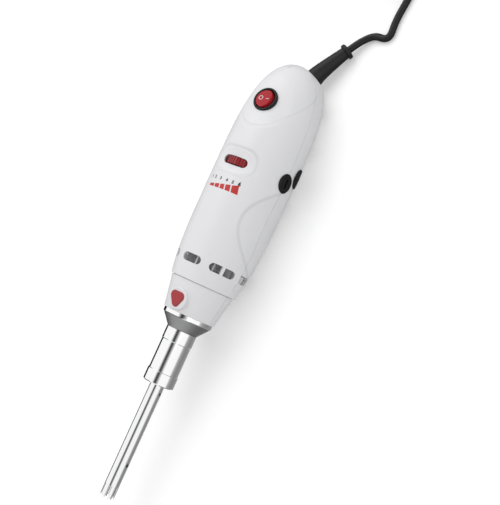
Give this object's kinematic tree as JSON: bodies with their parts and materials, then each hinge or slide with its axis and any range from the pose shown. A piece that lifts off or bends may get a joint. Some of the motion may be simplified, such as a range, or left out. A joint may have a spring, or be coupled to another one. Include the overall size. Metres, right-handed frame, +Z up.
{
  "type": "handheld rotor stator homogenizer",
  "caption": "Corded handheld homogenizer lying on its back: two-shell moulded motor housing, plated coupling, thin stator tube with a toothed end, rocker switch, speed dial and lock button.",
  "frame": {"origin": "on the bench, under the middle of the tool's length and width", "axes": "+X along the spindle towards the tail, +Z up towards the switch side, -Y towards the side with the stand socket"},
  "size_m": [0.5372, 0.0706, 0.0554],
  "materials": {
    "shell": "fine satin moulding",
    "black": "satin black moulding",
    "button_red": "matt red moulding",
    "wheel_red": "ribbed dark red moulding",
    "rocker_red": "glossy red moulding",
    "black_rubber": "moulded rubber",
    "cord_grey": "smooth sheath",
    "chrome": "polished plating",
    "nose_satin": "turned satin, polished at the band",
    "stainless": "polished stainless tube",
    "steel": "ground",
    "pot_metal": "plain",
    "lamination": "varnished laminations",
    "copper": "enamelled copper",
    "brass": "plain",
    "carbon": "dull carbon",
    "board": "circuit board",
    "ptfe": "waxy white"
  },
  "bodies": {
    "housing": {"front_shell": "shell", "rear_shell": "shell", "housing_screws": "steel", "nose_ring": "nose_satin", "coupling_sleeve": "chrome", "front_bearing": "steel", "rear_bearing": "steel", "field_core": "lamination", "field_coils": "copper", "stand_socket": "black", "switch_body": "black", "switch_terminals": "brass", "potentiometer": "pot_metal", "speed_board": "board", "strain_relief": "black_rubber", "cord": "cord_grey", "cord_coil": "cord_grey", "cord_tail": "cord_grey", "plug_body": "cord_grey", "plug_pins": "brass", "brush_holder_right": "brass", "carbon_brush_right": "carbon", "brush_spring_right": "steel", "brush_cap_right": "black", "brush_holder_left": "brass", "carbon_brush_left": "carbon", "brush_spring_left": "steel", "brush_cap_left": "black", "lock_spring": "steel"},
    "armature": {"spindle": "steel", "lock_collar": "steel", "front_race": "steel", "rear_race": "steel", "cooling_fan": "black", "armature_core": "lamination", "armature_windings": "copper", "commutator": "copper"},
    "button": {"lock_button": "button_red", "lock_pin": "steel"},
    "dial": {"speed_wheel": "wheel_red", "pot_spindle": "pot_metal"},
    "switch_rocker": {"rocker": "rocker_red"},
    "generator": {"generator_collar": "chrome", "collar_ring": "chrome", "o_ring": "black_rubber", "stator_tube": "stainless", "bushes": "ptfe"},
    "rotor": {"rotor_shaft": "stainless", "rotor_head": "stainless"}
  },
  "joints": [
    {"name": "armature_spin", "type": "hinge", "parent": "housing", "child": "armature", "pos_m": [0.01925, 0, 0.0286], "axis": [1, 0, 0], "continuous": true},
    {"name": "button_press", "type": "slide", "parent": "housing", "child": "button", "axis": [0, 0, -1], "range_m": [0, 0.0026], "stiffness_N_per_m": 400, "springref_m": -0.002, "deforming": ["lock_spring"]},
    {"name": "dial_turn", "type": "hinge", "parent": "housing", "child": "dial", "pos_m": [0.06285, 0, 0.0459], "axis": [1, 0, 0], "range_deg": [0, 270]},
    {"name": "rocker_tilt", "type": "hinge", "parent": "housing", "child": "switch_rocker", "pos_m": [0.1076, 0, 0.04849], "axis": [0.9848, 0, -0.1736], "range_deg": [0, 18]},
    {"name": "generator_pull", "type": "slide", "parent": "housing", "child": "generator", "axis": [-1, 0, 0], "range_m": [0, 0.03]},
    {"name": "rotor_spin", "type": "hinge", "parent": "generator", "child": "rotor", "pos_m": [-0.11075, 0, 0.0286], "axis": [1, 0, 0], "continuous": true}
  ],
  "couplings": [
    {"joint": "rotor_spin", "follows": "armature_spin", "ratio": 1}
  ]
}
